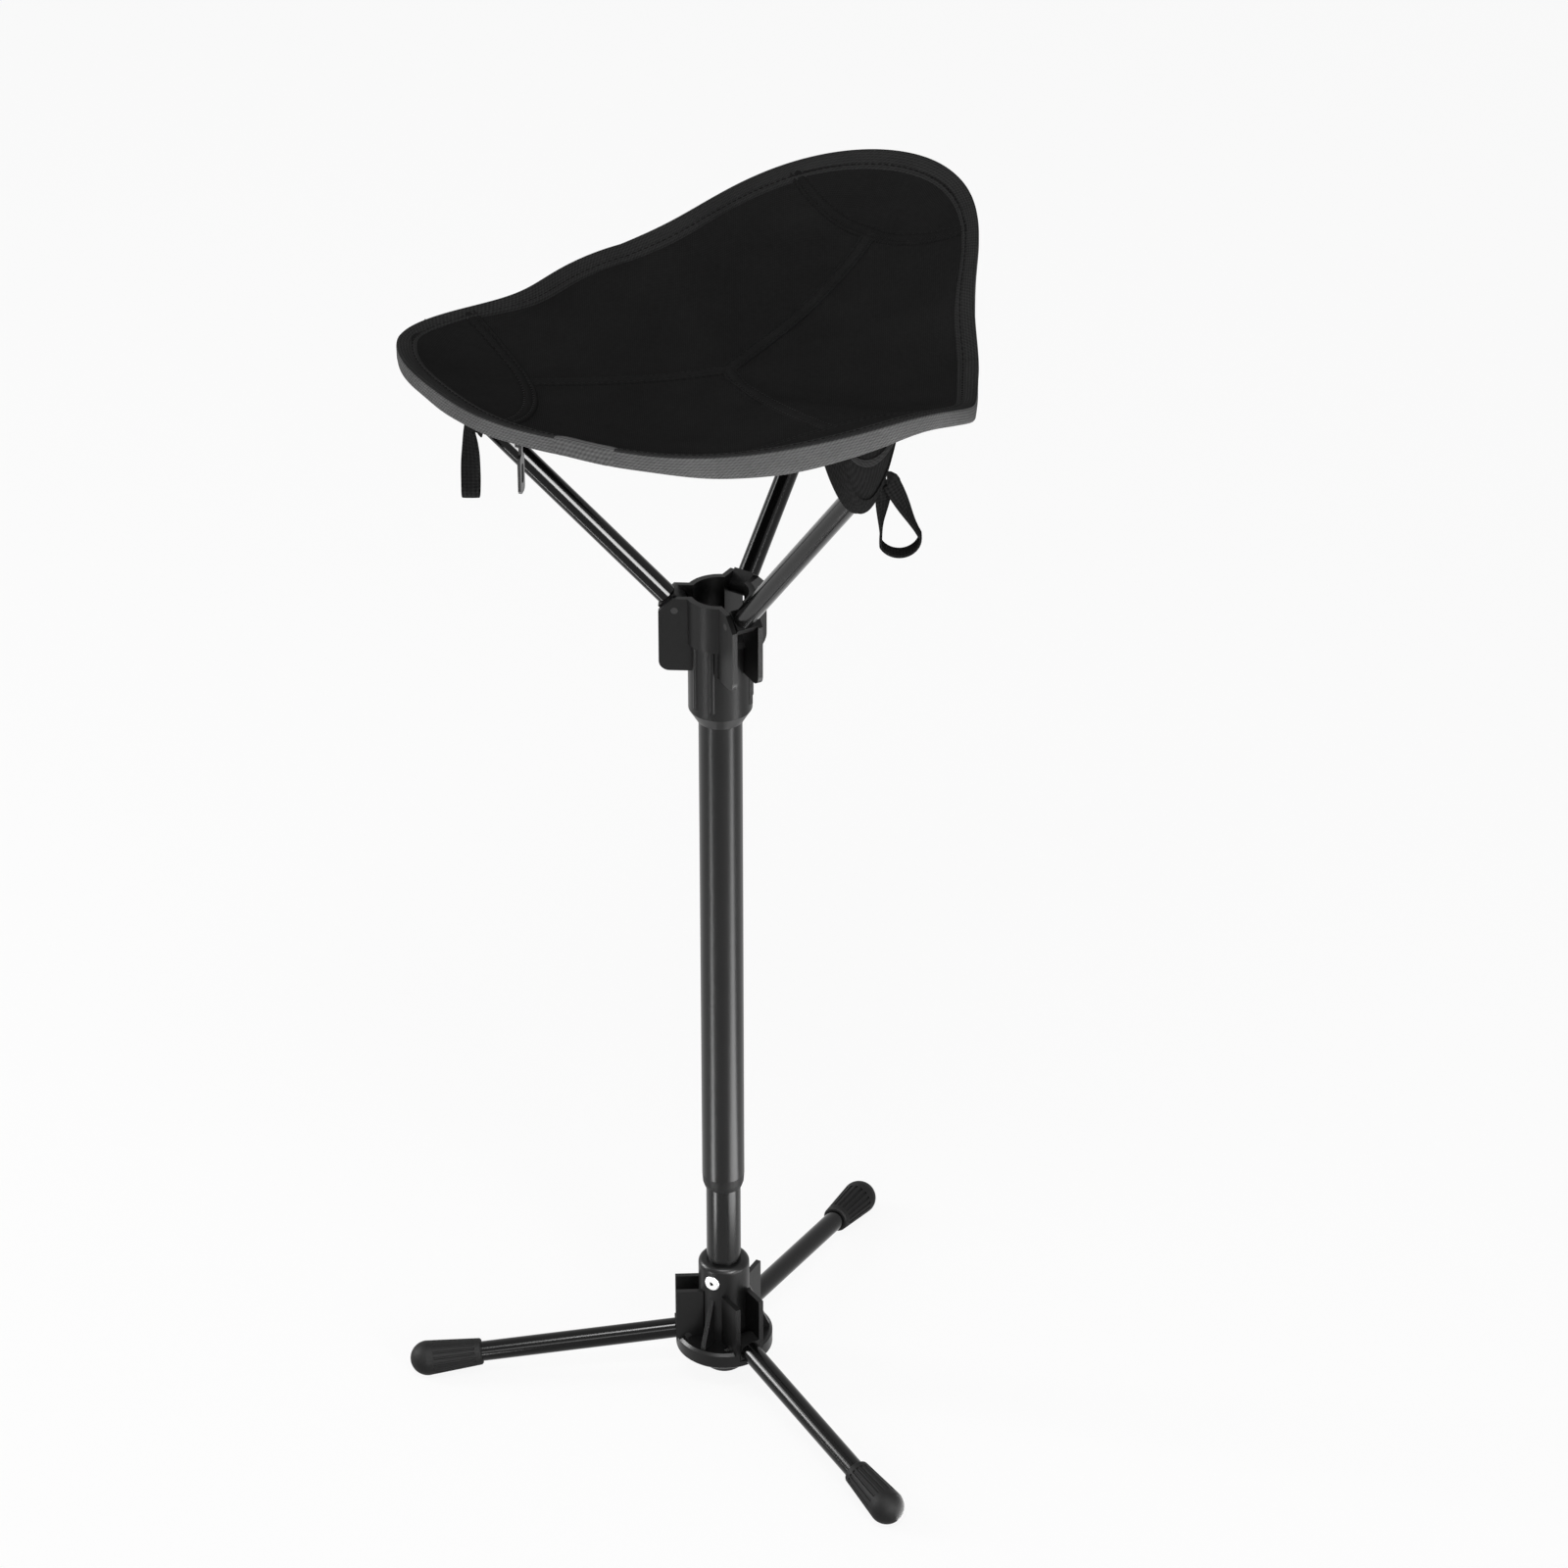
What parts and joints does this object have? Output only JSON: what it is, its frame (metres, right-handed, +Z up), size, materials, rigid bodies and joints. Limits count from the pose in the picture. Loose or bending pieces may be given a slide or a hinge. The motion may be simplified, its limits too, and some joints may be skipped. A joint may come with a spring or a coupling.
{
  "type": "tripod stool",
  "caption": "Tall folding stool: a pole on splayed folding legs carries hinged rods that hold a stretched cloth seat.",
  "frame": {"origin": "on the floor, on the pole's axis, under the pole foot", "axes": "+Z up along the pole; -X towards the left leg, -Y towards the front of the stool"},
  "size_m": [0.333, 0.3489, 0.7249],
  "materials": {
    "hub_plastic": "satin black moulding",
    "nylon": "matte black moulding",
    "foot_rubber": "matte black rubber",
    "pole_tube": "matte black anodised",
    "strut_tube": "gloss black coated",
    "rivet_aluminium": "bright aluminium",
    "pin_steel": "plain steel",
    "seat_fabric": "black woven polyester",
    "patch_fabric": "black woven polyester, doubled",
    "binding_tape": "black twill binding tape",
    "webbing": "black woven webbing",
    "zip_fabric": "black zip tape",
    "zip_metal": "black painted zip slider"
  },
  "bodies": {
    "base": {"lower_hub": "hub_plastic", "pole_foot": "foot_rubber", "inner_tube": "pole_tube", "inner_plug": "nylon", "hub_rivet": "rivet_aluminium", "leg_pins": "pin_steel"},
    "bearing": {"pole_bush": "nylon"},
    "upper": {"outer_tube": "pole_tube", "tube_stop": "nylon", "upper_hub": "hub_plastic", "rod_pins": "pin_steel"},
    "seat": {"seat_binding": "binding_tape", "under_panel": "seat_fabric", "zip_tape": "zip_fabric", "seat_panel_left_front": "seat_fabric", "corner_patch_left": "patch_fabric", "corner_pocket_left": "patch_fabric", "webbing_loop_left": "webbing", "seat_panel_front_back": "seat_fabric", "corner_patch_front": "patch_fabric", "corner_pocket_front": "patch_fabric", "webbing_loop_front": "webbing", "seat_panel_back_left": "seat_fabric", "corner_patch_back": "patch_fabric", "corner_pocket_back": "patch_fabric", "webbing_loop_back": "webbing"},
    "slider": {"zip_slider": "zip_metal"},
    "pull": {"zip_pull": "zip_metal"},
    "leg_left": {"leg_tube_left": "strut_tube", "leg_knuckle_left": "nylon", "foot_cap_left": "foot_rubber"},
    "rod_left": {"rod_tube_left": "strut_tube", "rod_knuckle_left": "nylon", "rod_tip_left": "nylon"},
    "leg_front": {"leg_tube_front": "strut_tube", "leg_knuckle_front": "nylon", "foot_cap_front": "foot_rubber"},
    "rod_front": {"rod_tube_front": "strut_tube", "rod_knuckle_front": "nylon", "rod_tip_front": "nylon"},
    "leg_back": {"leg_tube_back": "strut_tube", "leg_knuckle_back": "nylon", "foot_cap_back": "foot_rubber"},
    "rod_back": {"rod_tube_back": "strut_tube", "rod_knuckle_back": "nylon", "rod_tip_back": "nylon"}
  },
  "joints": [
    {"name": "pole_slide", "type": "slide", "parent": "base", "child": "bearing", "axis": [0, 0, 1], "range_m": [0, 0.12]},
    {"name": "seat_swivel", "type": "hinge", "parent": "bearing", "child": "upper", "pos_m": [0, 0, 0.142], "axis": [0, 0, 1], "continuous": true},
    {"name": "leg_fold_left", "type": "hinge", "parent": "base", "child": "leg_left", "pos_m": [-0.02195, -0.00092, 0.029], "axis": [-0.0419, 0.9991, 0], "range_deg": [0, 94]},
    {"name": "rod_fold_left", "type": "hinge", "parent": "upper", "child": "rod_left", "pos_m": [-0.02495, 0.001, 0.5295], "axis": [-0.0401, -0.9992, 0], "range_deg": [0, 135], "deforming": ["corner_pocket_left"]},
    {"name": "leg_fold_front", "type": "hinge", "parent": "base", "child": "leg_front", "pos_m": [0.01177, -0.01855, 0.029], "axis": [-0.8443, -0.5358, 0], "range_deg": [0, 94]},
    {"name": "rod_fold_front", "type": "hinge", "parent": "upper", "child": "rod_front", "pos_m": [0.01161, -0.02211, 0.5295], "axis": [0.8854, 0.4648, 0], "range_deg": [0, 135], "deforming": ["corner_pocket_front"]},
    {"name": "leg_fold_back", "type": "hinge", "parent": "base", "child": "leg_back", "pos_m": [0.01018, 0.01947, 0.029], "axis": [0.8862, -0.4633, 0], "range_deg": [0, 94]},
    {"name": "rod_fold_back", "type": "hinge", "parent": "upper", "child": "rod_back", "pos_m": [0.01334, 0.02111, 0.5295], "axis": [-0.8453, 0.5344, 0], "range_deg": [0, 135], "deforming": ["corner_pocket_back"]},
    {"name": "seat_lift", "type": "slide", "parent": "upper", "child": "seat", "axis": [0, 0, 1], "range_m": [0, 0.12], "deforming": ["corner_pocket_left", "corner_pocket_front", "corner_pocket_back"]},
    {"name": "zip_slide", "type": "slide", "parent": "seat", "child": "slider", "axis": [0.9645, -0.2458, -0.0966], "range_m": [0, 0.0785]},
    {"name": "zip_pull_swing", "type": "hinge", "parent": "slider", "child": "pull", "pos_m": [-0.1057, -0.06969, 0.66988], "axis": [0.247, 0.969, 0], "range_deg": [-80, 80]}
  ]
}
